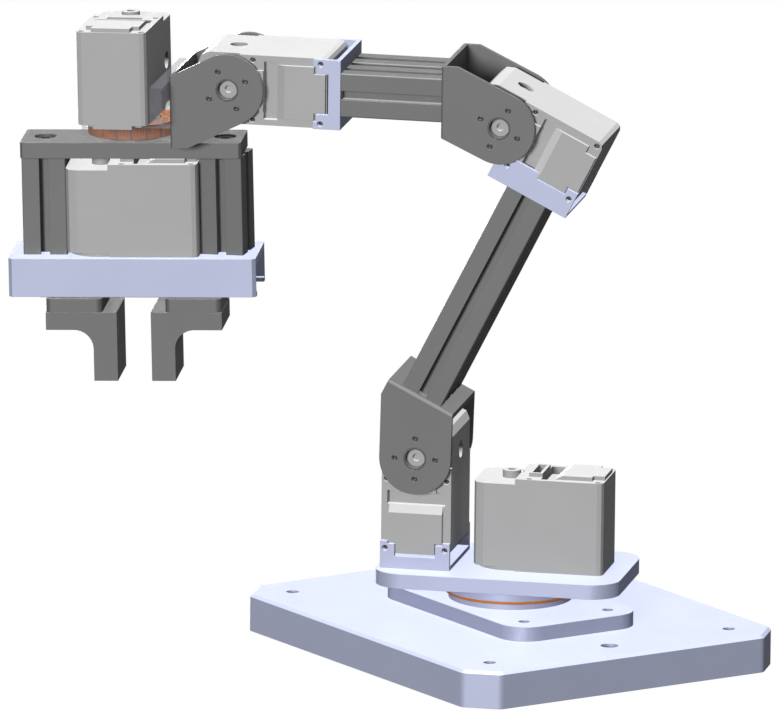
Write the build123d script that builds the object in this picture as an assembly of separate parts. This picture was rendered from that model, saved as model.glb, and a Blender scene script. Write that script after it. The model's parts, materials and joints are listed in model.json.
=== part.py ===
from build123d import *
import math
import os

# Desktop robot arm: turntable, three servo joints, wrist roll and a two-finger gripper.
# Millimetres. Origin: centre of the base plate's underside, on the yaw axis, +Z up.
# X and Y run along the base plate's sides.

# Rest pose, in degrees
YAW_REST = -45.0
UPPER_LEAN = 26.4
FOREARM_REST = 0.0
WRIST_TILT = 1.9
ROLL_REST = 5.5

# Base plate
BASE_X = 125.5
BASE_Y = 149.5
BASE_T = 12.8
BASE_CORNER_CUT = 9.5
BASE_CORNER_R = 3.0
BASE_EDGE_CUT = 1.0
BASE_HOLE_INSET = 14.25
BASE_HOLE_R = 2.1
CABLE_HOLE_R = 3.0

# Turntable plates and slewing bearing
PLATE_L = 86.0
PLATE_W = 52.0
TURRET_L = 84.2
TURRET_SHIFT = -1.1
FIXED_PLATE_T = 5.0
TURRET_PLATE_T = 5.0
PLATE_CORNER_R = 10.0
PLATE_HOLE_INSET = 9.0
PLATE_SCREW_R = 1.5
PLATE_HEAD_R = 2.9
PLATE_HEAD_T = 1.6
RACE_OUTER_R = 22.5
RACE_INNER_R = 14.5
LOWER_RACE_T = 1.9
UPPER_RACE_T = 3.3
RACE_GAP = 1.2
BALL_R = 1.1
BALL_COUNT = 16
BALL_FIT = 0.1
CAGE_SIDE_GAP = 0.15
HUB_R = 9.0
HUB_BORE_R = 3.2
HUB_CLEARANCE = 1.0

# Servo, seen along its output: u runs from the horn to the far end, v across it
SERVO_L = 45.0
SERVO_W = 24.0
SERVO_H = 32.0
HORN_INSET = 11.2
HORN_END_CUT = 4.0
FAR_END_CUT = 2.0
COVER_T = 7.5
STEP_U = 3.5
HORN_STEP = 1.4
HORN_BOSS_R = 11.3
REAR_STEP = 1.9
PLATEAU_U = 19.4
PLATEAU_RISE = 1.4
PLATEAU_HALF_V = 9.2
PLATEAU_NECK_HALF_V = 6.7
PLATEAU_NECK_L = 4.3
POCKET_U0 = 12.0
POCKET_U1 = 16.7
POCKET_HALF_V = 10.0
POCKET_DEPTH = 2.6
SIDE_HOLE_R = 3.0
SIDE_HOLE_DEPTH = 1.5
CASE_SCREW_U0 = 8.1
CASE_SCREW_INSET_U = 2.0
CASE_SCREW_V = 10.3
CASE_SCREW_R = 1.0
CASE_SCREW_DEPTH = 2.5
SHAFT_R = 3.0
SHAFT_DEPTH = 5.0
SHAFT_FIT = 0.05
IDLER_R = 3.1
IDLER_RISE = 2.6
IDLER_SOCKET_R = 1.3
IDLER_SOCKET_DEPTH = 1.6
CONNECTOR_U = 7.3
CONNECTOR_W = 14.0
CONNECTOR_RISE = 1.4
CONNECTOR_WALL = 1.0
CONNECTOR_DEPTH = 3.0
HORN_R = 10.0
HORN_GAP = 0.25
HORN_RECESS_R = 2.8
HORN_RECESS_DEPTH = 0.4
HORN_SCREW_R = 1.15
HORN_SCREW_DEPTH = 2.4

# Clevis bent from sheet
SHEET_T = 1.5
CLEVIS_DEPTH = 38.5
CLEVIS_REACH = 20.0
CLEVIS_WEB_L = 24.7
CLEVIS_OFFSET = 8.05
CLEVIS_EAR_R = 12.3
CLEVIS_STRAIGHT = 5.7
CLEVIS_BORE_R = 3.9
CLEVIS_HOLE_R = 1.0
CLEVIS_HOLE_RING_R = 7.0
CLEVIS_HOLE_TURN = 26.0
CLEVIS_BEND_R = 0.8
BUSH_FIT = 0.06
BUSH_RELIEF = 0.4

# Servo brackets
BRACKET_REACH = 38.7
BRACKET_FLANGE = 9.4
LONG_BRACKET_REACH = 16.7
LONG_BRACKET_L = 30.0
ELBOW_MOUNT_U = 18.75
NOTCH_HALF_V = 9.5
NOTCH_STEP = 1.0
NOTCH_NECK_HALF_V = 7.0
NOTCH_DEPTH = 5.2
NOTCH_SIDE_GAP = 0.3
HORN_RELIEF = 0.8

# T-slot beams
BEAM_W = 15.0
BEAM_GAP = 4.0
BEAM_SLOT_W = 3.1
BEAM_LIP_T = 1.3
BEAM_CAVITY_W = 6.2
BEAM_CAVITY_FLOOR_W = 3.4
BEAM_CAVITY_DEPTH = 4.3
BEAM_CORE_R = 1.3
BEAM_CORNER_R = 0.4
UPPER_BEAM_L = 79.2
FOREARM_BEAM_L = 35.0

# Shoulder place
SHOULDER_X = -29.7

# Wrist roll bracket and bearing, heights from the wrist axis
ROLL_DISC_R = 17.8
ROLL_DISC_T = 4.0
ROLL_SKIRT_H = 5.0
ROLL_SERVO_DROP = 9.9
ROLL_LEG_T = 4.4
ROLL_LEG_GAP = 0.4
ROLL_LEG_TOP = 2.7
ROLL_LEG_NEAR = 31.0
ROLL_RING_R = 15.5
ROLL_RING_BORE_R = 9.6
ROLL_RING_H = 4.8
ROLL_SEGMENTS = 18
ROLL_GROOVE_W = 0.7
ROLL_GROOVE_DEPTH = 0.8
ROLL_HUB_R = 8.0
ROLL_HUB_RING_R = 9.2
ROLL_UNDER_GAP = 1.75

# Gripper
TOP_PLATE_L = 75.2
TOP_PLATE_W = 22.0
TOP_PLATE_T = 5.4
TOP_PLATE_CORNER = 0.8
POST_L = 34.0
POST_TWIST_LEFT = 0.0
POST_TWIST_RIGHT = -9.5
POST_SPACE = 0.1
POST_TURN_SPACE = 1.1
POST_SCREW_R = 3.8
POST_SCREW_BORE_R = 1.6
HOUSING_L = 84.2
HOUSING_W = 29.0
HOUSING_H = 13.2
HOUSING_TOP_T = 2.4
HOUSING_WALL_T = 2.0
HOUSING_LIP_T = 1.5
HOUSING_LIP_W = 1.9
HOUSING_CORNER = 1.2
PINION_TEETH = 12
PINION_MODULE = 1.0
PINION_T = 4.4
TOOTH_BACKLASH = 0.16
RACK_T = 3.7
RACK_UNDER = 1.0
RACK_LEFT_X0 = -32.0
RACK_LEFT_X1 = 14.0
RACK_RIGHT_X0 = -30.0
RACK_RIGHT_X1 = 30.0
SLIDE_FIT = 0.25
CARRIAGE_L = 19.2
CARRIAGE_W = 24.0
CARRIAGE_H = 4.6
CARRIAGE_CORNER = 2.0
CARRIAGE_CENTRE = 20.3
FINGER_L = 24.2
FINGER_H = 23.7
FINGER_BAR_T = 6.1
FINGER_TIP_L = 8.1
FINGER_ARC_R = 6.6
FINGER_GAP = 11.6


# Frames

def view_frame(x, z, angle=0.0):
    """A frame in the arm's own plane, x right, y up, z towards the output side."""
    return Plane(origin=(x, 0, z), x_dir=(1, 0, 0), z_dir=(0, -1, 0)).location * Rot(0, 0, angle)


ARM = Rot(0, 0, YAW_REST)
FIXED_TOP = BASE_T + FIXED_PLATE_T
RACE_STACK = LOWER_RACE_T + RACE_GAP + UPPER_RACE_T
TURRET_BOTTOM = FIXED_TOP + RACE_STACK
TURRET_TOP = TURRET_BOTTOM + TURRET_PLATE_T
SHOULDER_Z = TURRET_TOP + BRACKET_REACH
FAR_U = SERVO_L - HORN_INSET
HALF_H = SERVO_H / 2
HORN_FACE = HALF_H - HORN_STEP
REAR_FACE = HALF_H - REAR_STEP
BALL_CENTRE_Z = FIXED_TOP + LOWER_RACE_T + RACE_GAP / 2
EAR_INNER = CLEVIS_DEPTH / 2 - SHEET_T
HORN_OUTER = EAR_INNER
CASE_SCREW_U1 = FAR_U - CASE_SCREW_INSET_U

YAW_SERVO = ARM * Plane(
    origin=(0, 0, TURRET_TOP + HALF_H), x_dir=(1, 0, 0), z_dir=(0, 0, -1)
).location
FLIP = Rot(180, 0, 0)
SHOULDER_SERVO = ARM * view_frame(SHOULDER_X, SHOULDER_Z, -90)
UPPER = ARM * view_frame(SHOULDER_X, SHOULDER_Z, 90 - UPPER_LEAN)
ELBOW_ALONG = CLEVIS_REACH + UPPER_BEAM_L + LONG_BRACKET_REACH
ELBOW_ACROSS = CLEVIS_OFFSET + ELBOW_MOUNT_U
ELBOW_SERVO = UPPER * Pos(ELBOW_ALONG, ELBOW_ACROSS, 0) * Rot(0, 0, -90)
FOREARM = UPPER * Pos(ELBOW_ALONG, ELBOW_ACROSS, 0) * Rot(0, 0, 90 + UPPER_LEAN + FOREARM_REST)
WRIST_ALONG = CLEVIS_REACH + FOREARM_BEAM_L + BRACKET_REACH
WRIST_SERVO = FOREARM * Pos(WRIST_ALONG, -CLEVIS_OFFSET, 0) * Rot(0, 0, 180)
WRIST = FOREARM * Pos(WRIST_ALONG, -CLEVIS_OFFSET, 0) * Rot(0, 0, WRIST_TILT)
ROLL_LEG_X = SERVO_W / 2 + ROLL_LEG_GAP
ROLL_WEB_X = ROLL_LEG_X + ROLL_LEG_T
ROLL_ALONG = CLEVIS_REACH + ROLL_WEB_X
ROLL = WRIST * Plane(origin=(ROLL_ALONG, 0, 0), x_dir=(-1, 0, 0), z_dir=(0, -1, 0)).location
ROLL_SERVO = ROLL * Plane(
    origin=(0, 0, HALF_H - ROLL_SERVO_DROP), x_dir=(0, -1, 0), z_dir=(0, 0, -1)
).location
GRIPPER = ROLL * Rot(0, 0, ROLL_REST)
ROLL_DISC_TOP = -ROLL_SERVO_DROP
ROLL_DISC_BOTTOM = ROLL_DISC_TOP - ROLL_DISC_T
ROLL_SKIRT_BOTTOM = ROLL_DISC_BOTTOM - ROLL_SKIRT_H
TOP_PLATE_TOP = ROLL_SKIRT_BOTTOM - ROLL_UNDER_GAP
POST_TOP = TOP_PLATE_TOP - TOP_PLATE_T
HOUSING_TOP = POST_TOP - POST_L
HOUSING_BOTTOM = HOUSING_TOP - HOUSING_H
GRIP_AXIS_X = HORN_INSET - SERVO_L / 2
GRIP_SERVO_MID = HOUSING_TOP + HALF_H
GRIP_SERVO = GRIPPER * Plane(
    origin=(GRIP_AXIS_X, 0, GRIP_SERVO_MID), x_dir=(1, 0, 0), z_dir=(0, 0, -1)
).location
POST_X = SERVO_L / 2 + POST_SPACE + BEAM_W / 2
POST_X_RIGHT = POST_X + POST_TURN_SPACE
PITCH_R = PINION_TEETH * PINION_MODULE / 2
RACK_BOTTOM = HOUSING_BOTTOM - RACK_UNDER
LIP_TOP = HOUSING_BOTTOM + HOUSING_LIP_T
RACK_SHELF = LIP_TOP + SLIDE_FIT
RACK_TOP = RACK_SHELF + RACK_T
CARRIAGE_TOP = RACK_BOTTOM - SLIDE_FIT
FINGER_TOP = CARRIAGE_TOP - CARRIAGE_H


# General helpers

def pick_long(edges, length):
    """The straight edges of at least this length."""
    return [e for e in edges if e.length > length]


def drill(r, x, y, z0, z1):
    """A round cutter along z from z0 to z1."""
    return Pos(x, y, (z0 + z1) / 2) * Cylinder(r, abs(z1 - z0))


def block(x0, x1, y0, y1, z0, z1):
    """A box by its two corners."""
    return Pos((x0 + x1) / 2, (y0 + y1) / 2, (z0 + z1) / 2) * Box(x1 - x0, y1 - y0, z1 - z0)


def ring(outer, inner, z0, z1):
    """A flat ring."""
    return drill(outer, 0, 0, z0, z1) - drill(inner, 0, 0, z0 - 1, z1 + 1)


def rounded_plate(length, width, corner_r, z0, z1):
    """A plate with round corners, lying flat."""
    plate = block(-length / 2, length / 2, -width / 2, width / 2, z0, z1)
    return fillet(plate.edges().filter_by(Axis.Z), corner_r)


def tangent_point(px, py, r, side):
    """Where the line from a point touches the circle of radius r about the origin."""
    d2 = px * px + py * py
    along = r * r / d2
    across = side * r * math.sqrt(d2 - r * r) / d2
    return along * px - across * py, along * py + across * px


# Base and turntable

def base_plate():
    plate = block(-BASE_X / 2, BASE_X / 2, -BASE_Y / 2, BASE_Y / 2, 0, BASE_T)
    plate = chamfer(plate.edges().filter_by(Axis.Z), BASE_CORNER_CUT)
    plate = fillet(plate.edges().filter_by(Axis.Z), BASE_CORNER_R)
    plate = chamfer(plate.faces().sort_by(Axis.Z)[-1].outer_wire().edges(), BASE_EDGE_CUT)
    hole_x = BASE_X / 2 - BASE_HOLE_INSET
    hole_y = BASE_Y / 2 - BASE_HOLE_INSET
    for sx in (-1, 1):
        for sy in (-1, 1):
            plate -= drill(BASE_HOLE_R, sx * hole_x, sy * hole_y, -1, BASE_T + 1)
    plate -= drill(CABLE_HOLE_R, 0, -hole_y, -1, BASE_T + 1)
    for x, y in plate_screw_places():
        plate -= drill(PLATE_SCREW_R, x, y, BASE_T - 2 * FIXED_PLATE_T, BASE_T + 1)
    return plate


def plate_screw_places():
    """The four corners of the fixed plate, whose long side runs along Y."""
    x = PLATE_W / 2 - PLATE_HOLE_INSET
    y = PLATE_L / 2 - PLATE_HOLE_INSET
    return [(sx * x, sy * y) for sx in (-1, 1) for sy in (-1, 1)]


def fixed_plate():
    plate = rounded_plate(PLATE_W, PLATE_L, PLATE_CORNER_R, BASE_T, FIXED_TOP)
    for x, y in plate_screw_places():
        plate -= drill(PLATE_SCREW_R, x, y, BASE_T - 1, FIXED_TOP + 1)
        plate -= drill(PLATE_HEAD_R, x, y, FIXED_TOP - PLATE_HEAD_T - 1.2, FIXED_TOP + 1)
    return plate


def plate_screws():
    """Four socket head screws, sunk in the fixed plate."""
    screws = []
    head_z = FIXED_TOP - PLATE_HEAD_T - 1.2
    for x, y in plate_screw_places():
        screw = drill(PLATE_HEAD_R - 0.15, x, y, head_z, head_z + PLATE_HEAD_T)
        screw += drill(PLATE_SCREW_R, x, y, BASE_T - FIXED_PLATE_T, head_z)
        screw -= drill(PLATE_SCREW_R * 0.8, x, y, head_z + PLATE_HEAD_T / 2, FIXED_TOP)
        screws.append(screw)
    return Compound(children=screws)


def ball_groove():
    """The track that the balls cut into both races."""
    mid_r = (RACE_OUTER_R + RACE_INNER_R) / 2
    track = Plane.XZ * Pos(mid_r, BALL_CENTRE_Z) * Circle(BALL_R + BALL_FIT)
    return revolve(track, Axis.Z)


def lower_race():
    return ring(RACE_OUTER_R - 1.5, RACE_INNER_R, FIXED_TOP, FIXED_TOP + LOWER_RACE_T) - ball_groove()


def upper_race():
    return ring(RACE_OUTER_R, RACE_INNER_R, TURRET_BOTTOM - UPPER_RACE_T, TURRET_BOTTOM) - ball_groove()


def ball_places():
    mid_r = (RACE_OUTER_R + RACE_INNER_R) / 2
    for i in range(BALL_COUNT):
        a = 2 * math.pi * i / BALL_COUNT
        yield mid_r * math.cos(a), mid_r * math.sin(a)


def slew_cage():
    z0 = FIXED_TOP + LOWER_RACE_T + CAGE_SIDE_GAP
    z1 = TURRET_BOTTOM - UPPER_RACE_T - CAGE_SIDE_GAP
    cage = ring(RACE_OUTER_R - 0.4, RACE_INNER_R + 0.4, z0, z1)
    for x, y in ball_places():
        cage -= drill(BALL_R + BALL_FIT, x, y, z0 - 1, z1 + 1)
    return cage


def slew_balls():
    return Compound(children=[Pos(x, y, BALL_CENTRE_Z) * Sphere(BALL_R) for x, y in ball_places()])


def turret_plate():
    plate = rounded_plate(TURRET_L, PLATE_W, PLATE_CORNER_R, TURRET_BOTTOM, TURRET_TOP)
    plate = Pos(TURRET_SHIFT, 0, 0) * plate
    plate -= drill(HORN_R + HUB_CLEARANCE, 0, 0, TURRET_BOTTOM - 1, TURRET_TOP + 1)
    return ARM * (plate - plateau_pocket(0, TURRET_TOP))


def plateau_pocket(x, top):
    """Room in a plate for the raised part of a servo cover that stands on it."""
    gap = NOTCH_SIDE_GAP
    half = PLATEAU_HALF_V + gap
    return block(x + POCKET_U1 - gap, x + FAR_U, -half, half, top - PLATEAU_RISE - gap, top + 1)


def yaw_hub():
    """Fixed post through the bearing, which carries the yaw servo's horn."""
    return ring(HUB_R, HUB_BORE_R, FIXED_TOP, TURRET_TOP + HALF_H - HORN_OUTER)


# Servo

def servo_block(z0, z1):
    """A slice of the case about the output axis, each upright corner cut in two flats."""
    side = -SERVO_W / 2
    mid = 1 - math.sqrt(0.5)
    lower = [
        (-HORN_INSET, side + HORN_END_CUT),
        (-HORN_INSET + mid * HORN_END_CUT, side + mid * HORN_END_CUT),
        (-HORN_INSET + HORN_END_CUT, side),
        (FAR_U - FAR_END_CUT, side),
        (FAR_U - mid * FAR_END_CUT, side + mid * FAR_END_CUT),
        (FAR_U, side + FAR_END_CUT),
    ]
    upper = [(u, -v) for u, v in reversed(lower)]
    plan = make_face(Polyline(*lower, *upper, close=True))
    return Pos(0, 0, z0) * extrude(plan, z1 - z0)


def cover_details(cover, face, step, sign):
    """Cuts and plateau that both covers share. sign is +1 on the horn side, -1 on the rear."""
    def across(a, b):
        return (min(sign * a, sign * b), max(sign * a, sign * b))
    z0, z1 = across(face - step, face + 2)
    cover -= block(-HORN_INSET - 1, STEP_U, -SERVO_W, SERVO_W, z0, z1)
    z0, z1 = across(face - 1, face + PLATEAU_RISE)
    plateau = block(PLATEAU_U, FAR_U - PLATEAU_NECK_L, -PLATEAU_HALF_V, PLATEAU_HALF_V, z0, z1)
    plateau += block(PLATEAU_U, FAR_U - 0.4, -PLATEAU_NECK_HALF_V, PLATEAU_NECK_HALF_V, z0, z1)
    cover += plateau
    profile = Polyline(
        (POCKET_U1, sign * (face - 1)),
        (POCKET_U1, sign * face),
        (PLATEAU_U, sign * (face + PLATEAU_RISE)),
        (PLATEAU_U, sign * (face - 1)),
        close=True,
    )
    cover += extrude(Plane.XZ * make_face(profile), PLATEAU_NECK_HALF_V, both=True)
    z0, z1 = across(face - POCKET_DEPTH, face + 2)
    cover -= block(POCKET_U0, POCKET_U1, -POCKET_HALF_V, POCKET_HALF_V, z0, z1)
    z0, z1 = across(face - CASE_SCREW_DEPTH, face + 2)
    for u in (CASE_SCREW_U0, CASE_SCREW_U1):
        for v in (-CASE_SCREW_V, CASE_SCREW_V):
            cover -= drill(CASE_SCREW_R, u, v, z0, z1)
    return cover


def servo_case(side):
    """Middle shell with a round recess on one of its flat sides."""
    case = servo_block(-HALF_H + COVER_T, HALF_H - COVER_T)
    y = side * (SERVO_W / 2 - SIDE_HOLE_DEPTH / 2)
    return case - Pos(0, y, 0) * Rot(90, 0, 0) * Cylinder(SIDE_HOLE_R, SIDE_HOLE_DEPTH)


def servo_horn_cover():
    cover = servo_block(HALF_H - COVER_T, HALF_H)
    cover = cover_details(cover, HALF_H, HORN_STEP, 1)
    cover += drill(HORN_BOSS_R, 0, 0, HORN_FACE - 1, HALF_H)
    cover -= drill(SHAFT_R + SHAFT_FIT, 0, 0, HORN_FACE - SHAFT_DEPTH - 0.3, HALF_H + 1)
    return cover


def servo_rear_cover():
    cover = servo_block(-HALF_H, -HALF_H + COVER_T)
    cover = cover_details(cover, HALF_H, REAR_STEP, -1)
    cover -= drill(CLEVIS_BORE_R + BUSH_RELIEF, 0, 0, -HALF_H - 1, -REAR_FACE)
    idler = drill(IDLER_R, 0, 0, -REAR_FACE - IDLER_RISE, -REAR_FACE)
    idler -= drill(IDLER_SOCKET_R, 0, 0, -REAR_FACE - IDLER_RISE, -REAR_FACE - IDLER_RISE + IDLER_SOCKET_DEPTH)
    top = -HALF_H - CONNECTOR_RISE
    half = CONNECTOR_W / 2
    wall = CONNECTOR_WALL
    socket = block(CONNECTOR_U, POCKET_U0, -half, half, top, -HALF_H + 1)
    slot = block(CONNECTOR_U + wall, POCKET_U0 - wall, wall - half, half - wall, top - 1, top + CONNECTOR_DEPTH)
    return cover + idler + socket - slot


def servo(name, place, side):
    """The three case pieces of one servo."""
    return {
        f"{name}_servo_case": place * servo_case(side),
        f"{name}_servo_horn_cover": place * servo_horn_cover(),
        f"{name}_servo_rear_cover": place * servo_rear_cover(),
    }


def horn(turn):
    """Disc horn on its output shaft, tapped for four screws on the clevis hole circle."""
    z0 = HALF_H + HORN_GAP
    disc = drill(HORN_R, 0, 0, z0, HORN_OUTER)
    disc += drill(SHAFT_R, 0, 0, HORN_FACE - SHAFT_DEPTH, z0)
    disc -= drill(HORN_RECESS_R, 0, 0, HORN_OUTER - HORN_RECESS_DEPTH, HORN_OUTER + 1)
    disc -= drill(HORN_SCREW_R, 0, 0, HORN_OUTER - HORN_SCREW_DEPTH, HORN_OUTER + 1)
    for i in range(4):
        a = math.radians(turn + 90 * i)
        x = CLEVIS_HOLE_RING_R * math.cos(a)
        y = CLEVIS_HOLE_RING_R * math.sin(a)
        disc -= drill(CLEVIS_HOLE_R, x, y, z0 - 1, HORN_OUTER + 1)
    return disc


# Clevis

def clevis_outline(side):
    """One ear: a round end, two oblique flanks and a short straight corner on the long side."""
    near = side * (CLEVIS_OFFSET - CLEVIS_WEB_L / 2)
    far = side * (CLEVIS_OFFSET + CLEVIS_WEB_L / 2)
    corner_x = CLEVIS_REACH - CLEVIS_STRAIGHT
    t_near = tangent_point(CLEVIS_REACH, near, CLEVIS_EAR_R, -side)
    t_far = tangent_point(corner_x, far, CLEVIS_EAR_R, side)
    edges = [
        Line(t_near, (CLEVIS_REACH, near)),
        Line((CLEVIS_REACH, near), (CLEVIS_REACH, far)),
        Line((CLEVIS_REACH, far), (corner_x, far)),
        Line((corner_x, far), t_far),
        ThreePointArc(t_far, (-CLEVIS_EAR_R, 0), t_near),
    ]
    return make_face(edges)


def clevis(side, beam_screws):
    """A U of sheet: two ears on the joint axis and a web that the link bolts to."""
    half = CLEVIS_DEPTH / 2
    solid = extrude(clevis_outline(side), half, both=True)
    bends = [e for e in pick_long(solid.edges(), CLEVIS_WEB_L - 1)
             if e.center().X > CLEVIS_REACH - 0.1 and abs(abs(e.center().Z) - half) < 0.1]
    solid = fillet(bends, CLEVIS_BEND_R)
    solid -= block(-2 * CLEVIS_EAR_R, CLEVIS_REACH - SHEET_T, -60, 60, -EAR_INNER, EAR_INNER)
    solid -= drill(CLEVIS_BORE_R, 0, 0, -half - 1, half + 1)
    for i in range(4):
        a = math.radians(side * CLEVIS_HOLE_TURN + 90 * i)
        x = CLEVIS_HOLE_RING_R * math.cos(a)
        y = CLEVIS_HOLE_RING_R * math.sin(a)
        solid -= drill(CLEVIS_HOLE_R, x, y, -half - 1, half + 1)
    for y, z in beam_screws:
        solid -= Pos(CLEVIS_REACH, y, z) * Rot(0, 90, 0) * Cylinder(BEAM_CORE_R, 4 * SHEET_T)
    return solid


def idler_bush():
    """Bush in the near ear, which runs on the servo's idler boss."""
    half = CLEVIS_DEPTH / 2
    bush = drill(CLEVIS_BORE_R, 0, 0, -half, -REAR_FACE - BUSH_RELIEF)
    bush -= drill(IDLER_R + BUSH_FIT, 0, 0, -REAR_FACE - IDLER_RISE - BUSH_RELIEF, -REAR_FACE + 1)
    return bush - drill(IDLER_SOCKET_R, 0, 0, -half - 1, -REAR_FACE)


# T-slot beams

def beam_profile():
    square = Rectangle(BEAM_W, BEAM_W)
    square = fillet(square.vertices(), BEAM_CORNER_R)
    half = BEAM_W / 2
    slot = Polyline(
        (half + 1, BEAM_SLOT_W / 2),
        (half - BEAM_LIP_T, BEAM_SLOT_W / 2),
        (half - BEAM_LIP_T, BEAM_CAVITY_W / 2),
        (half - BEAM_CAVITY_DEPTH, BEAM_CAVITY_FLOOR_W / 2),
        (half - BEAM_CAVITY_DEPTH, -BEAM_CAVITY_FLOOR_W / 2),
        (half - BEAM_LIP_T, -BEAM_CAVITY_W / 2),
        (half - BEAM_LIP_T, -BEAM_SLOT_W / 2),
        (half + 1, -BEAM_SLOT_W / 2),
        close=True,
    )
    section = square - Circle(BEAM_CORE_R)
    for turn in range(4):
        section -= Rot(0, 0, 90 * turn) * make_face(slot)
    return section


BEAM_SECTION = beam_profile()
BEAM_Z = (BEAM_W + BEAM_GAP) / 2
BEAM_SCREWS = [(CLEVIS_OFFSET, BEAM_Z), (CLEVIS_OFFSET, -BEAM_Z)]


def link_beam(start, length, y, z):
    """A beam along x of its link."""
    section = Plane(origin=(start, y, z), x_dir=(0, 1, 0), z_dir=(1, 0, 0)) * BEAM_SECTION
    return extrude(section, length)


# Servo brackets

def end_bracket():
    """Channel over the servo's far end, notched round the covers' plateaus."""
    outer = HALF_H + SHEET_T
    u0 = BRACKET_REACH - BRACKET_FLANGE
    half_v = SERVO_W / 2
    solid = block(u0, BRACKET_REACH, -half_v, half_v, -outer, outer)
    solid -= block(u0 - 1, BRACKET_REACH - SHEET_T, -half_v - 1, half_v + 1, -HALF_H, HALF_H)
    for sign in (-1, 1):
        z0, z1 = sorted((sign * (HALF_H - 1), sign * (outer + 1)))
        solid -= block(u0 - 1, u0 + NOTCH_STEP, -NOTCH_HALF_V, NOTCH_HALF_V, z0, z1)
        solid -= block(u0 - 1, u0 + NOTCH_DEPTH, -NOTCH_NECK_HALF_V, NOTCH_NECK_HALF_V, z0, z1)
    for v in (-CASE_SCREW_V, CASE_SCREW_V):
        solid -= drill(CASE_SCREW_R, CASE_SCREW_U1, v, -outer - 1, outer + 1)
    for z in (-BEAM_Z, BEAM_Z):
        solid -= Pos(BRACKET_REACH, 0, z) * Rot(0, 90, 0) * Cylinder(BEAM_CORE_R, 4 * SHEET_T)
    return solid


def side_bracket():
    """Channel along the servo's side, for the elbow, with a notch for the plateaus."""
    outer = HALF_H + SHEET_T
    u0 = ELBOW_MOUNT_U - LONG_BRACKET_L / 2
    u1 = ELBOW_MOUNT_U + LONG_BRACKET_L / 2
    v0 = -LONG_BRACKET_REACH
    v1 = v0 + BRACKET_FLANGE
    solid = block(u0, u1, v0, v1, -outer, outer)
    solid -= block(u0 - 1, u1 + 1, v0 + SHEET_T, v1 + 1, -HALF_H, HALF_H)
    notch_u0 = PLATEAU_U - NOTCH_SIDE_GAP
    notch_u1 = FAR_U - PLATEAU_NECK_L + NOTCH_SIDE_GAP
    notch_v = -PLATEAU_HALF_V - NOTCH_SIDE_GAP
    for sign in (-1, 1):
        z0, z1 = sorted((sign * (HALF_H - 1), sign * (outer + 1)))
        solid -= block(notch_u0, notch_u1, notch_v, v1 + 1, z0, z1)
        solid -= drill(HORN_R + HORN_RELIEF, 0, 0, z0, z1)
        for u in (CASE_SCREW_U0, CASE_SCREW_U1):
            solid -= drill(CASE_SCREW_R, u, -CASE_SCREW_V, z0, z1)
    for z in (-BEAM_Z, BEAM_Z):
        solid -= Pos(ELBOW_MOUNT_U, v0, z) * Rot(90, 0, 0) * Cylinder(BEAM_CORE_R, 4 * SHEET_T)
    return solid


# Wrist roll

def roll_bracket():
    """Clear bracket: a leg on the clevis web and a skirted seat for the bearing under the servo."""
    half = CLEVIS_DEPTH / 2
    solid = drill(ROLL_DISC_R, 0, 0, ROLL_SKIRT_BOTTOM, ROLL_DISC_TOP)
    solid += block(0, ROLL_WEB_X, -ROLL_DISC_R, ROLL_DISC_R, ROLL_DISC_BOTTOM, ROLL_DISC_TOP)
    solid -= block(ROLL_WEB_X, ROLL_WEB_X + ROLL_DISC_R, -half, half, ROLL_SKIRT_BOTTOM - 1, 0)
    solid += block(ROLL_LEG_X, ROLL_WEB_X, -ROLL_LEG_NEAR, half, ROLL_DISC_TOP, ROLL_LEG_TOP)
    solid += block(ROLL_LEG_X, ROLL_WEB_X, -ROLL_DISC_R, half, ROLL_DISC_BOTTOM, ROLL_DISC_TOP)
    solid -= drill(ROLL_RING_R, 0, 0, ROLL_SKIRT_BOTTOM - 1, ROLL_DISC_BOTTOM)
    return solid - drill(HORN_R + HUB_CLEARANCE, 0, 0, ROLL_DISC_BOTTOM - 1, ROLL_DISC_TOP + 1)


def roll_bearing():
    """Segmented bearing ring in the skirt."""
    z0 = ROLL_DISC_BOTTOM - ROLL_RING_H
    solid = ring(ROLL_RING_R, ROLL_RING_BORE_R, z0, ROLL_DISC_BOTTOM)
    inner = ROLL_RING_R - ROLL_GROOVE_DEPTH
    half = ROLL_GROOVE_W / 2
    for i in range(ROLL_SEGMENTS):
        groove = block(inner, ROLL_RING_R + 1, -half, half, z0 - 1, ROLL_DISC_BOTTOM - 1)
        solid -= Rot(0, 0, 360 * i / ROLL_SEGMENTS) * groove
    return solid


def roll_hub():
    """Round spacer between the roll horn and the gripper's top plate, with the inner race."""
    horn_bottom = -ROLL_SERVO_DROP + HALF_H - HORN_OUTER
    hub = drill(ROLL_HUB_R, 0, 0, TOP_PLATE_TOP, horn_bottom)
    hub += drill(ROLL_HUB_RING_R, 0, 0, TOP_PLATE_TOP, ROLL_DISC_BOTTOM)
    return hub - drill(SHAFT_R, 0, 0, TOP_PLATE_TOP - 1, horn_bottom + 1)


# Gripper frame

def gripper_top_plate():
    half_l = TOP_PLATE_L / 2
    half_w = TOP_PLATE_W / 2
    plate = block(-half_l, half_l, -half_w, half_w, POST_TOP, TOP_PLATE_TOP)
    plate = chamfer(plate.edges().filter_by(Axis.Z), TOP_PLATE_CORNER)
    for x in (-POST_X, POST_X_RIGHT):
        plate -= drill(POST_SCREW_R, x, 0, TOP_PLATE_TOP - TOP_PLATE_T / 2, TOP_PLATE_TOP + 1)
        plate -= drill(POST_SCREW_BORE_R, x, 0, POST_TOP - 1, TOP_PLATE_TOP + 1)
    plate -= drill(SHAFT_R, 0, 0, POST_TOP - 1, TOP_PLATE_TOP + 1)
    return plate


def gripper_post(x, twist):
    section = Plane(origin=(x, 0, HOUSING_TOP), z_dir=(0, 0, 1)) * (Rot(0, 0, twist) * BEAM_SECTION)
    return extrude(section, POST_L)


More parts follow.
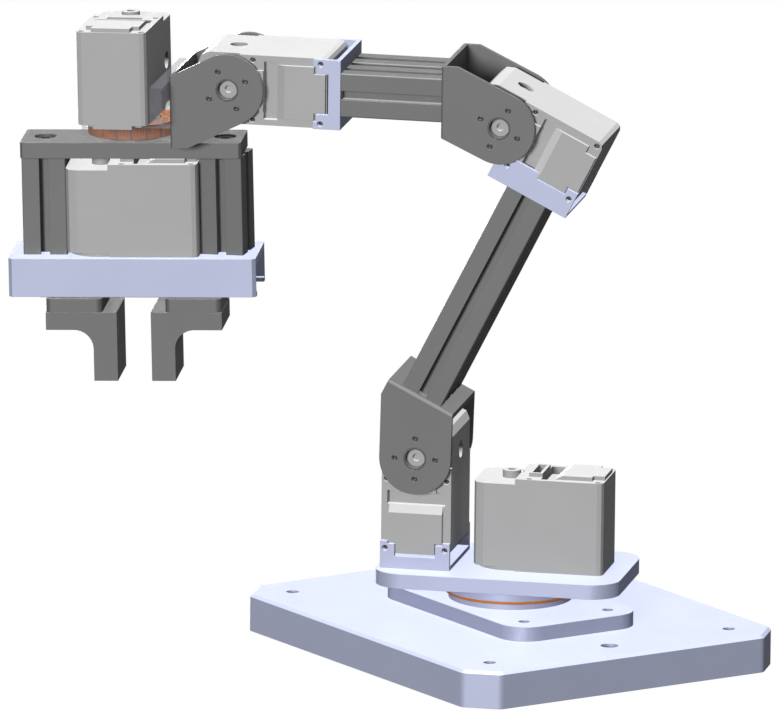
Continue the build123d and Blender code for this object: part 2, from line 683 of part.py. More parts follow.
def gripper_housing():
    """Channel with open ends, whose lips carry the racks."""
    half_l = HOUSING_L / 2
    half_w = HOUSING_W / 2
    inner = half_w - HOUSING_WALL_T
    solid = block(-half_l, half_l, -half_w, half_w, HOUSING_BOTTOM, HOUSING_TOP)
    solid = chamfer(solid.edges().filter_by(Axis.Z), HOUSING_CORNER)
    solid -= block(-half_l - 1, half_l + 1, -inner, inner, LIP_TOP, HOUSING_TOP - HOUSING_TOP_T)
    slot = inner - HOUSING_LIP_W
    solid -= block(-half_l - 1, half_l + 1, -slot, slot, HOUSING_BOTTOM - 1, LIP_TOP + 1)
    solid -= drill(HORN_R + HUB_CLEARANCE, GRIP_AXIS_X, 0, HOUSING_TOP - 4, HOUSING_TOP + 1)
    for x in (-POST_X, POST_X_RIGHT):
        solid -= drill(POST_SCREW_BORE_R, x, 0, HOUSING_TOP - 4, HOUSING_TOP + 1)
    return solid - plateau_pocket(GRIP_AXIS_X, HOUSING_TOP)


def tooth_profile(half_pitch_w, depth_out, depth_in, y_pitch):
    """One rack tooth about x = 0, pointing towards smaller y, with 20 degree flanks."""
    slope = math.tan(math.radians(20))
    return Polyline(
        (-half_pitch_w - depth_in * slope, y_pitch + depth_in),
        (-half_pitch_w + depth_out * slope, y_pitch - depth_out),
        (half_pitch_w - depth_out * slope, y_pitch - depth_out),
        (half_pitch_w + depth_in * slope, y_pitch + depth_in),
        close=True,
    )


def pinion():
    """Twelve straight-flanked teeth on a stem under the gripper servo's horn."""
    m = PINION_MODULE
    root = PITCH_R - 1.25 * m
    tip = PITCH_R + 0.9 * m
    half_pitch = math.pi * m / 4 / PITCH_R - TOOTH_BACKLASH / PITCH_R
    section = Circle(root)
    for i in range(PINION_TEETH):
        a = 2 * math.pi * i / PINION_TEETH
        points = []
        for r, w in ((root - 0.3, 1.55), (PITCH_R, 1.0), (tip, 0.42)):
            points.append((r, w * half_pitch))
        flank = [(r * math.cos(w), r * math.sin(w)) for r, w in points]
        mirror = [(x, -y) for x, y in reversed(flank)]
        tooth = make_face(Polyline(*(flank + mirror), close=True))
        section += Rot(0, 0, math.degrees(a)) * tooth
    z1 = RACK_SHELF + PINION_T
    gear = extrude(Pos(0, 0, RACK_SHELF) * section, PINION_T)
    gear += drill(PITCH_R - 1.25 * m - 0.2, 0, 0, z1, HOUSING_TOP + HALF_H - HORN_OUTER)
    return Pos(GRIP_AXIS_X, 0, 0) * gear


def rack(x0, x1, side):
    """A toothed bar that rides on one lip of the housing. side is -1 in front, +1 behind."""
    m = PINION_MODULE
    inner = HOUSING_W / 2 - HOUSING_WALL_T
    back = inner - SLIDE_FIT
    neck = inner - HOUSING_LIP_W - SLIDE_FIT
    root = PITCH_R + 1.25 * m
    bar = block(x0, x1, root, back, RACK_SHELF, RACK_TOP)
    bar += block(x0, x1, root, neck, RACK_BOTTOM, RACK_SHELF)
    pitch = math.pi * m
    first = math.ceil((x0 + 1.2 - GRIP_AXIS_X) / pitch - 0.5)
    last = math.floor((x1 - 1.2 - GRIP_AXIS_X) / pitch - 0.5)
    half = pitch / 4 - TOOTH_BACKLASH / 2
    tooth = make_face(tooth_profile(half, m * 0.9, 1.35 * m, PITCH_R))
    for i in range(first, last + 1):
        x = GRIP_AXIS_X + (i + 0.5) * pitch
        bar += extrude(Pos(x, 0, RACK_SHELF) * tooth, RACK_T)
    return bar if side > 0 else mirror(bar, Plane.XZ)


def carriage(side, rack_side):
    """The block that hangs from its rack and carries a finger."""
    x = side * CARRIAGE_CENTRE
    half_l = CARRIAGE_L / 2
    half_w = CARRIAGE_W / 2
    solid = block(x - half_l, x + half_l, -half_w, half_w, FINGER_TOP, CARRIAGE_TOP)
    solid = fillet(solid.edges().filter_by(Axis.Z), CARRIAGE_CORNER)
    inner = HOUSING_W / 2 - HOUSING_WALL_T
    neck = inner - HOUSING_LIP_W - SLIDE_FIT
    y0, y1 = sorted((rack_side * (PITCH_R + 1.25 * PINION_MODULE), rack_side * neck))
    return solid + block(x - half_l + 2, x + half_l - 2, y0, y1, CARRIAGE_TOP - 1, RACK_BOTTOM)


def finger(side):
    """L-shaped finger with a concave corner under its bar."""
    face = FINGER_GAP / 2
    outer = face + FINGER_L
    z0 = FINGER_TOP - FINGER_H
    zb = FINGER_TOP - FINGER_BAR_T
    tip = face + FINGER_TIP_L
    arc_mid = math.sqrt(0.5) * FINGER_ARC_R
    centre = (tip + FINGER_ARC_R, zb - FINGER_ARC_R)
    edges = [
        Line((face, z0), (face, FINGER_TOP)),
        Line((face, FINGER_TOP), (outer, FINGER_TOP)),
        Line((outer, FINGER_TOP), (outer, zb)),
        Line((outer, zb), (tip + FINGER_ARC_R, zb)),
        ThreePointArc(
            (tip + FINGER_ARC_R, zb),
            (centre[0] - arc_mid, centre[1] + arc_mid),
            (tip, zb - FINGER_ARC_R),
        ),
        Line((tip, zb - FINGER_ARC_R), (tip, z0)),
        Line((tip, z0), (face, z0)),
    ]
    solid = extrude(Plane.XZ * make_face(edges), CARRIAGE_W / 2, both=True)
    return solid if side > 0 else mirror(solid, Plane.YZ)


# Assembly

def clevis_joint(name, frame, side, screws):
    """Clevis, horn and idler bush of one hinge, the horn at the far ear."""
    turn = side * CLEVIS_HOLE_TURN
    return {
        f"{name}_clevis": frame * clevis(side, screws),
        f"{name}_horn": frame * FLIP * horn(-turn),
        f"{name}_idler_bush": frame * FLIP * idler_bush(),
    }


def build():
    parts = {
        "base_plate": base_plate(),
        "fixed_plate": fixed_plate(),
        "plate_screws": plate_screws(),
        "lower_race": lower_race(),
        "yaw_hub": yaw_hub(),
        "yaw_horn": YAW_SERVO * horn(0),
        "turret_plate": turret_plate(),
        "upper_race": upper_race(),
        "slew_cage": slew_cage(),
        "slew_balls": slew_balls(),
        "shoulder_bracket": SHOULDER_SERVO * end_bracket(),
    }
    parts |= servo("yaw", YAW_SERVO, -1)
    parts |= servo("shoulder", SHOULDER_SERVO * FLIP, 1)
    up = [(y, z) for y, z in BEAM_SCREWS]
    down = [(-y, z) for y, z in BEAM_SCREWS]
    parts |= clevis_joint("shoulder", UPPER, 1, up)
    parts["upper_beam_near"] = UPPER * link_beam(CLEVIS_REACH, UPPER_BEAM_L, CLEVIS_OFFSET, BEAM_Z)
    parts["upper_beam_far"] = UPPER * link_beam(CLEVIS_REACH, UPPER_BEAM_L, CLEVIS_OFFSET, -BEAM_Z)
    parts["elbow_bracket"] = ELBOW_SERVO * side_bracket()
    parts |= servo("elbow", ELBOW_SERVO * FLIP, 1)
    parts |= clevis_joint("elbow", FOREARM, -1, down)
    parts["forearm_beam_near"] = FOREARM * link_beam(CLEVIS_REACH, FOREARM_BEAM_L, -CLEVIS_OFFSET, BEAM_Z)
    parts["forearm_beam_far"] = FOREARM * link_beam(CLEVIS_REACH, FOREARM_BEAM_L, -CLEVIS_OFFSET, -BEAM_Z)
    parts["wrist_bracket"] = WRIST_SERVO * end_bracket()
    parts |= servo("wrist", WRIST_SERVO * FLIP, 1)
    parts |= clevis_joint("wrist", WRIST, 1, up)
    parts["roll_bracket"] = ROLL * roll_bracket()
    parts["roll_bearing"] = ROLL * roll_bearing()
    parts |= servo("roll", ROLL_SERVO, -1)
    parts["roll_horn"] = ROLL_SERVO * horn(ROLL_REST)
    parts["roll_hub"] = GRIPPER * roll_hub()
    parts["gripper_top_plate"] = GRIPPER * gripper_top_plate()
    parts["gripper_post_left"] = GRIPPER * gripper_post(-POST_X, POST_TWIST_LEFT)
    parts["gripper_post_right"] = GRIPPER * gripper_post(POST_X_RIGHT, POST_TWIST_RIGHT)
    parts |= servo("gripper", GRIP_SERVO, -1)
    parts["gripper_housing"] = GRIPPER * gripper_housing()
    parts["gripper_horn"] = GRIP_SERVO * horn(0)
    parts["pinion"] = GRIPPER * pinion()
    parts["left_rack"] = GRIPPER * rack(RACK_LEFT_X0, RACK_LEFT_X1, -1)
    parts["right_rack"] = GRIPPER * rack(RACK_RIGHT_X0, RACK_RIGHT_X1, 1)
    parts["left_carriage"] = GRIPPER * carriage(-1, -1)
    parts["right_carriage"] = GRIPPER * carriage(1, 1)
    parts["left_finger"] = GRIPPER * finger(-1)
    parts["right_finger"] = GRIPPER * finger(1)
    return parts


os.makedirs("parts", exist_ok=True)
for node, solid in build().items():
    export_step(solid, f"parts/{node}.step")
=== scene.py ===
import json
import math

import bmesh
import bpy
from mathutils import Matrix, Vector


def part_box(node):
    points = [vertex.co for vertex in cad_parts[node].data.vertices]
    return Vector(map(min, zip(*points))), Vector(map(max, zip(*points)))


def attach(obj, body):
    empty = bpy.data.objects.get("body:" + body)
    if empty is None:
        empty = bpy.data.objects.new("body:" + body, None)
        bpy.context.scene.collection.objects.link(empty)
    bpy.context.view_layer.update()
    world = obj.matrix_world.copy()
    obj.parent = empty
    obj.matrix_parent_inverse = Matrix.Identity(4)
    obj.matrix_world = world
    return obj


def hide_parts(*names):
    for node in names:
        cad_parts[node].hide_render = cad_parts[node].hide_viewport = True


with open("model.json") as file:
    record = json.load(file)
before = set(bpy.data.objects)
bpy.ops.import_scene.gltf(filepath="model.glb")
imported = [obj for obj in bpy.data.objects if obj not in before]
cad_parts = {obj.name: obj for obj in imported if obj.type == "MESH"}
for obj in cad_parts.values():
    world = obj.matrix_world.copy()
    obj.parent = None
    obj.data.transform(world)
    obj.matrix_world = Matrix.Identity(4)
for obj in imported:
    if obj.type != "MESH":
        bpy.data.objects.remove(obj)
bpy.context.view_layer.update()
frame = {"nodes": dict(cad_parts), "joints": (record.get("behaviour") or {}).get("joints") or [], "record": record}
MM = 0.001

# Camera, found by fitting corners of the arm to the photo
CAMERA_AZIMUTH = -33.53
CAMERA_ELEVATION = 12.756
CAMERA_ROLL = 0.679
CAMERA_DISTANCE = 10.289
CAMERA_TARGET = (-0.029847, 0.029847, 0.097445)
CAMERA_LENS = 1399.75
CAMERA_SENSOR = 36.0
CAMERA_CLIP_END = 50

# Suns: azimuth, elevation, strength, angle, shadow. The back one reaches no face that the camera sees
SUNS = {
    "top": (CAMERA_AZIMUTH, 88, 5.2, 12, False),
    "front left": (CAMERA_AZIMUTH - 18, 12, 2.0, 12, True),
    "back": (157, -4, 1.9, 20, True),
}
SUN_BOUNCES = 8
WORLD_STRENGTH = 0.1

# Rest pose and sizes that the small parts are set out from, in degrees and millimetres
YAW = -45.0
UPPER_LEAN = 26.4
SERVO_HALF_H = 16.0
CASE_SCREW_U = (8.1, 31.8)
CASE_SCREW_V = 10.3
SHEET_T = 1.5
EAR_OUTER = 19.25
HORN_RECESS = -17.35
CLEVIS_BORE_R = 3.9
BUSH_BORE_R = 3.35
BUSH_Z = 14.5
SOCKET_U = (7.2, 12.1)
SLOPE_U = (16.7, 19.4)
SLOPE_V = (6.7, 9.2)
PLATEAU_RISE = 1.4
HORN_RING_R = 7.0
HORN_RING_TURN = 26.0
WRIST_TILT = 1.9
ROLL_SERVO_DROP = 9.9
TOP_PLATE_DROP = 20.65
HOUSING_TOP_DROP = 60.05
POST_X = (-30.1, 31.2)
BEAM_Z = 9.5
CLEVIS_OFFSET = 8.05
CLEVIS_REACH = 20.0
PLATE_SCREW_X = 17.0
PLATE_SCREW_Y = 34.0
PLATE_SHANK_REACH = 1.6
PLATE_HEAD_REACH = 3.0
PLATE_HEAD_SHARE = 0.66

# Screws, in millimetres: head radius, head height, key radius, key depth
CASE_SCREW = (0.8, 0.7, 0.35, 0.25)
EAR_SCREW = (0.93, 1.2, 0.5, 0.6)
HUB_SCREW = (1.05, 0.5, 0.55, 0.4)
WEB_SCREW = (2.1, 1.9, 1.1, 1.1)
POST_SCREW = (3.3, 2.1, 1.6, 1.3)
CASE_SCREW_SUNK = 1.0
EAR_SCREW_SUNK = 1.4
POST_SCREW_SUNK = 2.7
HEAD_EDGE_SHARE = 0.12
SCREW_SEGMENTS = 24
SLEEVE_SEGMENTS = 64
CHEEK_SUNK = 0.5
MERGE_M = 1e-7

# Looks
WHITE = (1.0, 1.0, 1.0)
METAL = (0.19, 0.19, 0.19)
BRUSH_STRETCH = 25.0
TINT_SCALE = 60.0
ROUGH_SPREAD = 0.05
BUMP_DEPTH = 0.0001
BEVEL_SAMPLES = 4
CLEAR_SCALE = 300.0
CLEAR_COAT = 0.4
CLEAR_ROUGH = (0.08, 0.16)
HAZE_SPREAD = 0.05


# Places in the arm

def basis(origin, x_dir, z_dir):
    """A frame from its origin, x and z directions, in metres."""
    x = Vector(x_dir).normalized()
    z = Vector(z_dir).normalized()
    y = z.cross(x)
    m = Matrix((x, y, z)).transposed().to_4x4()
    m.translation = Vector(origin)
    return m


joint = {j["name"]: j for j in frame["joints"]}
arm_x = Vector((math.cos(math.radians(YAW)), math.sin(math.radians(YAW)), 0))
arm_y = Vector((-arm_x.y, arm_x.x, 0))
up = Vector((0, 0, 1))


def in_view(angle):
    """A direction in the arm's plane, counter-clockwise from its right."""
    return arm_x * math.cos(math.radians(angle)) + up * math.sin(math.radians(angle))


turret_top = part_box("turret_plate")[1][2]
roll_axis = Vector(joint["wrist_roll"]["axis"])
grip_x = Vector(joint["left_finger_slide"]["axis"])
roll_origin = Vector(joint["wrist_roll"]["pos_m"])
drive_origin = Vector(joint["grip_drive"]["pos_m"])
roll_servo_at = roll_origin + roll_axis * (SERVO_HALF_H - ROLL_SERVO_DROP) * MM
grip_servo_at = drive_origin + roll_axis * (SERVO_HALF_H - HOUSING_TOP_DROP) * MM
top_plate_at = roll_origin - roll_axis * TOP_PLATE_DROP * MM
SERVO_PLACES = {
    "yaw": ("turret", basis((0, 0, turret_top + SERVO_HALF_H * MM), arm_x, -up)),
    "shoulder": ("turret", basis(joint["shoulder_pitch"]["pos_m"], -up, -arm_y)),
    "elbow": ("upper_arm", basis(joint["elbow_pitch"]["pos_m"], in_view(-UPPER_LEAN), -arm_y)),
    "wrist": ("forearm", basis(joint["wrist_pitch"]["pos_m"], arm_x, -arm_y)),
    "roll": ("wrist", basis(roll_servo_at, -arm_y, -roll_axis)),
    "gripper": ("gripper", basis(grip_servo_at, grip_x, -roll_axis)),
}
beam_way = in_view(90 - UPPER_LEAN)
CLEVIS_PLACES = {
    "shoulder": ("upper_arm", basis(joint["shoulder_pitch"]["pos_m"], beam_way, -arm_y), 1),
    "elbow": ("forearm", basis(joint["elbow_pitch"]["pos_m"], -arm_x, -arm_y), -1),
    "wrist": ("wrist", basis(joint["wrist_pitch"]["pos_m"], in_view(180 + WRIST_TILT), -arm_y), 1),
}


# Node materials

def new_material(name):
    """A material with its nodes and links."""
    mat = bpy.data.materials.new(name)
    mat.use_nodes = True
    return mat, mat.node_tree.nodes, mat.node_tree.links


def surface_noise(nodes, links, scale, detail=3.0, along=None):
    """Noise in Object coordinates, drawn out along a direction where the metal is brushed."""
    coords = nodes.new("ShaderNodeTexCoord")
    mapping = nodes.new("ShaderNodeMapping")
    mapping.vector_type = "TEXTURE"
    if along is not None:
        mapping.inputs["Rotation"].default_value = along.to_track_quat("X", "Z").to_euler()
        mapping.inputs["Scale"].default_value = (BRUSH_STRETCH, 1, 1)
    noise = nodes.new("ShaderNodeTexNoise")
    noise.inputs["Scale"].default_value = scale
    noise.inputs["Detail"].default_value = detail
    links.new(coords.outputs["Object"], mapping.inputs["Vector"])
    links.new(mapping.outputs["Vector"], noise.inputs["Vector"])
    return noise


def finish_material(
    name, colour, rough, metal, grain, bump=0.04, vary=0.05, along=None, edge=0.0002,
):
    """A finish with a fine grain, slightly uneven colour and roughness, and softened edges."""
    mat, nodes, links = new_material(name)
    shader = nodes["Principled BSDF"]
    shader.inputs["Metallic"].default_value = metal
    broad = surface_noise(nodes, links, TINT_SCALE)
    fine = surface_noise(nodes, links, grain, 4.0, along)
    tint = nodes.new("ShaderNodeMix")
    tint.data_type = "RGBA"
    tint.inputs["A"].default_value = (*[c * (1 - vary) for c in colour], 1)
    tint.inputs["B"].default_value = (*[min(1, c * (1 + vary)) for c in colour], 1)
    links.new(broad.outputs["Fac"], tint.inputs["Factor"])
    links.new(tint.outputs["Result"], shader.inputs["Base Color"])
    spread = nodes.new("ShaderNodeMapRange")
    spread.inputs["To Min"].default_value = rough - ROUGH_SPREAD
    spread.inputs["To Max"].default_value = rough + ROUGH_SPREAD
    links.new(fine.outputs["Fac"], spread.inputs["Value"])
    links.new(spread.outputs["Result"], shader.inputs["Roughness"])
    relief = nodes.new("ShaderNodeBump")
    relief.inputs["Strength"].default_value = bump
    relief.inputs["Distance"].default_value = BUMP_DEPTH
    soft = nodes.new("ShaderNodeBevel")
    soft.samples = BEVEL_SAMPLES
    soft.inputs["Radius"].default_value = edge
    links.new(soft.outputs["Normal"], relief.inputs["Normal"])
    links.new(fine.outputs["Fac"], relief.inputs["Height"])
    links.new(relief.outputs["Normal"], shader.inputs["Normal"])
    return mat


def clear_material(name, colour, alpha):
    """Smoky clear plastic: a thin coloured film with a clear coat's reflection."""
    mat, nodes, links = new_material(name)
    shader = nodes["Principled BSDF"]
    shader.inputs["Base Color"].default_value = (*colour, 1)
    shader.inputs["Coat Weight"].default_value = CLEAR_COAT
    noise = surface_noise(nodes, links, CLEAR_SCALE)
    spread = nodes.new("ShaderNodeMapRange")
    spread.inputs["To Min"].default_value = CLEAR_ROUGH[0]
    spread.inputs["To Max"].default_value = CLEAR_ROUGH[1]
    links.new(noise.outputs["Fac"], spread.inputs["Value"])
    links.new(spread.outputs["Result"], shader.inputs["Roughness"])
    haze = nodes.new("ShaderNodeMapRange")
    haze.inputs["To Min"].default_value = alpha - HAZE_SPREAD
    haze.inputs["To Max"].default_value = alpha + HAZE_SPREAD
    links.new(noise.outputs["Fac"], haze.inputs["Value"])
    links.new(haze.outputs["Result"], shader.inputs["Alpha"])
    return mat


SLOT_MATERIALS = {
    "blue_plate": finish_material("blue anodised plate", (0.55, 0.59, 0.79), 0.5, 0.25, 1400.0),
    "dark_metal": finish_material("dark anodised metal", METAL, 0.45, 0.25, 1600.0),
    "servo_case": finish_material(
        "moulded case", (0.48, 0.48, 0.48), 0.6, 0.0, 2600.0, 0.12, 0.04, edge=2e-5,
    ),
    "steel": finish_material("turned steel", (0.35, 0.35, 0.35), 0.4, 0.5, 2000.0),
    # The bush slot's near-black is painted shade: it turns each idler sleeve into a dark ring in its ear's bore.
    "bush": finish_material("bush painted dark as bore shade", (0.1, 0.1, 0.1), 0.5, 0.0, 2000.0),
    "orange_ring": finish_material("orange ring", (0.6, 0.2, 0.04), 0.5, 0.0, 1500.0),
    "smoky_clear": clear_material("smoky clear", (0.35, 0.36, 0.42), 0.24),
}
# The screws' near-black is painted shade: it darkens each recessed head into the dark ring of its hole.
SCREW_PAINTED_SHADE = finish_material("screw painted dark as hole shade", (0.1, 0.1, 0.1), 0.35, 0.5, 3000.0)

node_slot = {p["node"]: p["material_slot"] for p in frame["record"]["subparts"]}
BRUSHED = {"upper_beam": beam_way, "forearm_beam": arm_x, "gripper_post": roll_axis}
BEAM_MATERIALS = {
    start: finish_material(f"{start} extrusion", METAL, 0.45, 0.25, 1800.0, 0.06, along=way)
    for start, way in BRUSHED.items()
}
for node, obj in frame["nodes"].items():
    obj.data.materials.clear()
    obj.data.materials.append(BEAM_MATERIALS.get(node.rsplit("_", 1)[0], SLOT_MATERIALS[node_slot[node]]))


# Small parts, set out by Geometry Nodes

def new_object(name, data):
    """An object in the scene that holds the data."""
    obj = bpy.data.objects.new(name, data)
    bpy.context.scene.collection.objects.link(obj)
    return obj


def mesh_object(name, build):
    """A mesh object made by a function that fills a bmesh."""
    bm = bmesh.new()
    build(bm)
    mesh = bpy.data.meshes.new(name)
    bm.to_mesh(mesh)
    bm.free()
    return new_object(name, mesh)


def turned(bm, outline, segments):
    """Revolves an (r, z) outline in millimetres about z."""
    verts = [bm.verts.new((r * MM, 0, z * MM)) for r, z in outline]
    edges = [bm.edges.new((a, b)) for a, b in zip(verts, verts[1:])]
    bmesh.ops.spin(
        bm, geom=verts + edges, cent=(0, 0, 0), axis=(0, 0, 1), angle=2 * math.pi, steps=segments,
        use_merge=True,
    )
    bmesh.ops.remove_doubles(bm, verts=bm.verts, dist=MERGE_M)
    bmesh.ops.recalc_face_normals(bm, faces=bm.faces)


def socket_screw(head_r, head_h, key_r, depth):
    """Builds a socket head cap screw standing on z = 0."""
    edge = HEAD_EDGE_SHARE * head_r

    def build(bm):
        turned(bm, [
            (0, head_h - depth), (key_r, head_h - depth), (key_r, head_h),
            (head_r - edge, head_h), (head_r, head_h - edge), (head_r, 0), (0, 0),
        ], SCREW_SEGMENTS)
    return build


def scatter(name, source, places, material, body):
    """Puts a copy of the source at each place with Geometry Nodes, and bakes it to a plain mesh."""
    def build(bm):
        for place in places:
            bm.verts.new(place.translation)

    obj = mesh_object(name, build)
    turn = obj.data.attributes.new("turn", "FLOAT_VECTOR", "POINT")
    for item, place in zip(turn.data, places):
        item.vector = place.to_euler()
    tree = bpy.data.node_groups.new(name, "GeometryNodeTree")
    tree.interface.new_socket("Geometry", in_out="INPUT", socket_type="NodeSocketGeometry")
    tree.interface.new_socket("Geometry", in_out="OUTPUT", socket_type="NodeSocketGeometry")
    nodes = tree.nodes
    links = tree.links
    start = nodes.new("NodeGroupInput")
    end = nodes.new("NodeGroupOutput")
    points = nodes.new("GeometryNodeMeshToPoints")
    info = nodes.new("GeometryNodeObjectInfo")
    info.inputs["Object"].default_value = source
    place_all = nodes.new("GeometryNodeInstanceOnPoints")
    angles = nodes.new("GeometryNodeInputNamedAttribute")
    angles.data_type = "FLOAT_VECTOR"
    angles.inputs["Name"].default_value = "turn"
    real = nodes.new("GeometryNodeRealizeInstances")
    paint = nodes.new("GeometryNodeSetMaterial")
    paint.inputs["Material"].default_value = material
    links.new(start.outputs["Geometry"], points.inputs["Mesh"])
    links.new(points.outputs["Points"], place_all.inputs["Points"])
    links.new(info.outputs["Geometry"], place_all.inputs["Instance"])
    links.new(angles.outputs["Attribute"], place_all.inputs["Rotation"])
    links.new(place_all.outputs["Instances"], real.inputs["Geometry"])
    links.new(real.outputs["Geometry"], paint.inputs["Geometry"])
    links.new(paint.outputs["Geometry"], end.inputs["Geometry"])
    mod = obj.modifiers.new(name, "NODES")
    mod.node_group = tree
    evaluated = obj.evaluated_get(bpy.context.evaluated_depsgraph_get())
    baked = bpy.data.meshes.new_from_object(evaluated)
    obj.modifiers.clear()
    obj.data = baked
    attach(obj, body)
    return obj


def at(place, x, y, z, flip=False):
    """A point in a frame, in millimetres, with z turned over on request."""
    m = place @ Matrix.Translation(Vector((x, y, z)) * MM)
    if flip:
        m = m @ Matrix.Rotation(math.pi, 4, "X")
    return m


def sleeve(inner, outer, z0, z1):
    """Builds a plain tube along z."""
    def build(bm):
        outline = [(inner, z0), (outer, z0), (outer, z1), (inner, z1), (inner, z0)]
        turned(bm, outline, SLEEVE_SEGMENTS)
    return build


def slope_cheeks(bm):
    """The two ends of the slope up to a cover's plateau, in the servo's frame."""
    low = SERVO_HALF_H - CHEEK_SUNK
    high = SERVO_HALF_H + PLATEAU_RISE
    outline = [(SLOPE_U[0], SERVO_HALF_H), (SLOPE_U[1], high), (SLOPE_U[1], low), (SLOPE_U[0], low)]
    for side in (-1, 1):
        rings = []
        for v in SLOPE_V:
            rings.append([bm.verts.new((u * MM, side * v * MM, w * MM)) for u, w in outline])
        bm.faces.new(rings[0])
        bm.faces.new(rings[1])
        for i in range(4):
            j = (i + 1) % 4
            bm.faces.new((rings[0][i], rings[0][j], rings[1][j], rings[1][i]))
    bmesh.ops.recalc_face_normals(bm, faces=bm.faces)


# Pieces that stand for CAD nodes

def stand_in(name, mesh, body, node):
    """Lets a mesh take a node's place: it joins the node's body, and the node is hidden."""
    obj = new_object(name, mesh)
    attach(obj, body)
    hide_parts(node)


# The hinges' servos wear the roll servo's case, turned over, so that its side recess shows
roll_body, roll_place = SERVO_PLACES["roll"]
for name in CLEVIS_PLACES:
    body, place = SERVO_PLACES[name]
    mesh = frame["nodes"]["roll_servo_case"].data.copy()
    mesh.transform(at(place, 0, 0, 0, True) @ roll_place.inverted())
    stand_in(f"{name}_case", mesh, body, f"{name}_servo_case")

# The roll servo's cable socket lies flush with its rear cover
mesh = frame["nodes"]["roll_servo_rear_cover"].data.copy()
mesh.transform(roll_place.inverted())
cover = bmesh.new()
cover.from_mesh(mesh)
for vert in cover.verts:
    if SOCKET_U[0] * MM < vert.co.x < SOCKET_U[1] * MM and vert.co.z < -SERVO_HALF_H * MM:
        vert.co.z = -SERVO_HALF_H * MM
bmesh.ops.dissolve_degenerate(cover, dist=MERGE_M, edges=cover.edges)
cover.to_mesh(mesh)
cover.free()
mesh.transform(roll_place)
stand_in("roll_rear_cover", mesh, roll_body, "roll_servo_rear_cover")

# The fixed plate's screw heads and recesses are drawn in to the size that the photo shows
for name, node in (("small_bore_plate", "fixed_plate"), ("small_plate_screws", "plate_screws")):
    mesh = frame["nodes"][node].data.copy()
    for vert in mesh.vertices:
        for x, y in ((-1, -1), (-1, 1), (1, -1), (1, 1)):
            axis = Vector((x * PLATE_SCREW_X * MM, y * PLATE_SCREW_Y * MM, vert.co.z))
            out = vert.co - axis
            if PLATE_SHANK_REACH * MM < out.length < PLATE_HEAD_REACH * MM:
                vert.co = axis + out * PLATE_HEAD_SHARE
    stand_in(name, mesh, "base", node)


# Small parts on the servos, clevises and top plate

cheeks = mesh_object("slope cheeks", slope_cheeks)
case_screw = mesh_object("case screw", socket_screw(*CASE_SCREW))
ear_screw = mesh_object("ear screw", socket_screw(*EAR_SCREW))
hub_screw = mesh_object("hub screw", socket_screw(*HUB_SCREW))
web_screw = mesh_object("web screw", socket_screw(*WEB_SCREW))
post_screw = mesh_object("post screw", socket_screw(*POST_SCREW))
tube = mesh_object("idler sleeve", sleeve(BUSH_BORE_R, CLEVIS_BORE_R, BUSH_Z, EAR_OUTER))

for name, (body, place) in SERVO_PLACES.items():
    ends = [at(place, 0, 0, 0), at(place, 0, 0, 0, True)]
    pair = scatter(f"{name}_slope_cheeks", cheeks, ends, SLOT_MATERIALS["servo_case"], body)

for name, (body, place) in SERVO_PLACES.items():
    spots = []
    for u in CASE_SCREW_U:
        for v in (-CASE_SCREW_V, CASE_SCREW_V):
            spots.append(at(place, u, v, SERVO_HALF_H - CASE_SCREW_SUNK))
            spots.append(at(place, u, v, -SERVO_HALF_H + CASE_SCREW_SUNK, True))
    scatter(f"{name}_case_screws", case_screw, spots, SCREW_PAINTED_SHADE, body)

for name, (body, place, side) in CLEVIS_PLACES.items():
    # The sleeve's bush material is painted shade, a dark ring in the ear's bore.
    bush = scatter(f"{name}_idler_sleeve", tube, [place], SLOT_MATERIALS["bush"], body)
    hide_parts(f"{name}_idler_bush")
    ring = []
    for i in range(4):
        a = math.radians(side * HORN_RING_TURN + 90 * i)
        x = HORN_RING_R * math.cos(a)
        y = HORN_RING_R * math.sin(a)
        ring.append(at(place, x, y, EAR_OUTER - EAR_SCREW_SUNK))
        ring.append(at(place, x, y, -EAR_OUTER + EAR_SCREW_SUNK, True))
    scatter(f"{name}_ear_screws", ear_screw, ring, SCREW_PAINTED_SHADE, body)
    scatter(f"{name}_hub_screw", hub_screw, [at(place, 0, 0, HORN_RECESS, True)], SCREW_PAINTED_SHADE, body)
    if name != "wrist":
        x = CLEVIS_REACH - SHEET_T
        y = side * CLEVIS_OFFSET
        web = Matrix.Rotation(-math.pi / 2, 4, "Y")
        heads = [at(place, x, y, z) @ web for z in (-BEAM_Z, BEAM_Z)]
        scatter(f"{name}_web_screws", web_screw, heads, SCREW_PAINTED_SHADE, body)

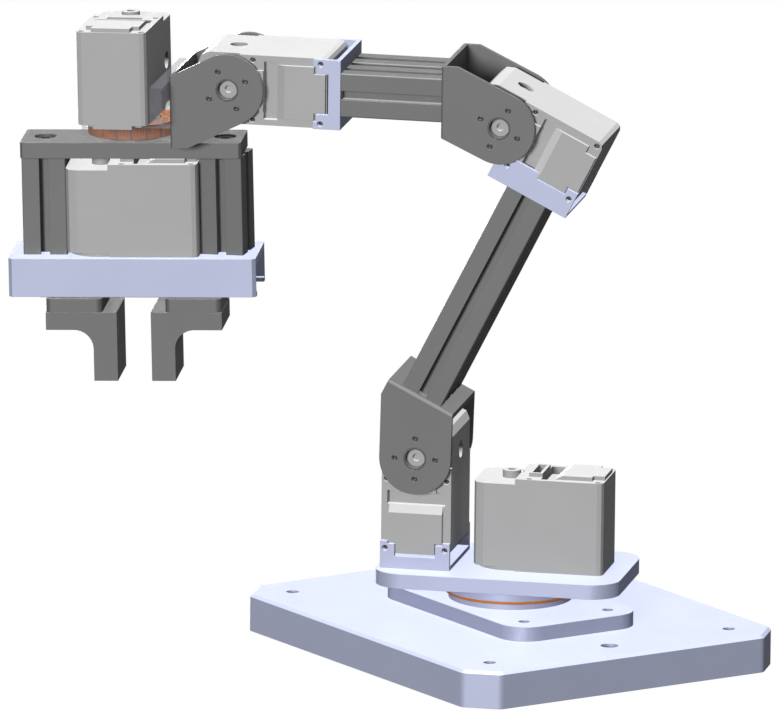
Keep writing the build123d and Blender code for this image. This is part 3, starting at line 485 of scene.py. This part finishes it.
seat = basis(top_plate_at, grip_x, roll_axis)
bores = [at(seat, x, 0, -POST_SCREW_SUNK) for x in POST_X]
scatter("post_screws", post_screw, bores, SCREW_PAINTED_SHADE, "gripper")
for source in (cheeks, case_screw, ear_screw, hub_screw, web_screw, post_screw, tube):
    bpy.data.objects.remove(source)


# Camera, light and backdrop

def look(azimuth, elevation):
    """The direction from the arm to a viewer, azimuth 0 in front."""
    a = math.radians(azimuth)
    e = math.radians(elevation)
    return Vector((math.sin(a) * math.cos(e), -math.cos(a) * math.cos(e), math.sin(e)))


def add_camera():
    data = bpy.data.cameras.new("camera")
    data.lens = CAMERA_LENS
    data.sensor_width = CAMERA_SENSOR
    data.clip_end = CAMERA_CLIP_END
    cam = new_object("camera", data)
    back = look(CAMERA_AZIMUTH, CAMERA_ELEVATION)
    turn = back.to_track_quat("Z", "Y").to_matrix().to_4x4()
    turn = turn @ Matrix.Rotation(math.radians(CAMERA_ROLL), 4, "Z")
    cam.matrix_world = Matrix.Translation(Vector(CAMERA_TARGET) + back * CAMERA_DISTANCE) @ turn
    bpy.context.scene.camera = cam


def add_sun(name, azimuth, elevation, strength, angle, shadow):
    data = bpy.data.lights.new(name, "SUN")
    data.energy = strength
    data.angle = math.radians(angle)
    data.use_shadow = shadow
    data.cycles.max_bounces = SUN_BOUNCES if shadow else 0
    lamp = new_object(name, data)
    lamp.rotation_euler = look(azimuth, elevation).to_track_quat("Z", "Y").to_euler()


def add_world():
    world = bpy.data.worlds.new("world")
    bpy.context.scene.world = world
    world.use_nodes = True
    nodes = world.node_tree.nodes
    links = world.node_tree.links
    light = nodes["Background"]
    light.inputs["Color"].default_value = (*WHITE, 1)
    light.inputs["Strength"].default_value = WORLD_STRENGTH
    seen = nodes.new("ShaderNodeBackground")
    seen.inputs["Color"].default_value = (*WHITE, 1)
    path = nodes.new("ShaderNodeLightPath")
    pick = nodes.new("ShaderNodeMixShader")
    links.new(path.outputs["Is Camera Ray"], pick.inputs["Fac"])
    links.new(light.outputs["Background"], pick.inputs[1])
    links.new(seen.outputs["Background"], pick.inputs[2])
    links.new(pick.outputs["Shader"], nodes["World Output"].inputs["Surface"])


add_camera()
add_world()
for name, setting in SUNS.items():
    add_sun(name, *setting)
bpy.context.scene.view_settings.view_transform = "Standard"
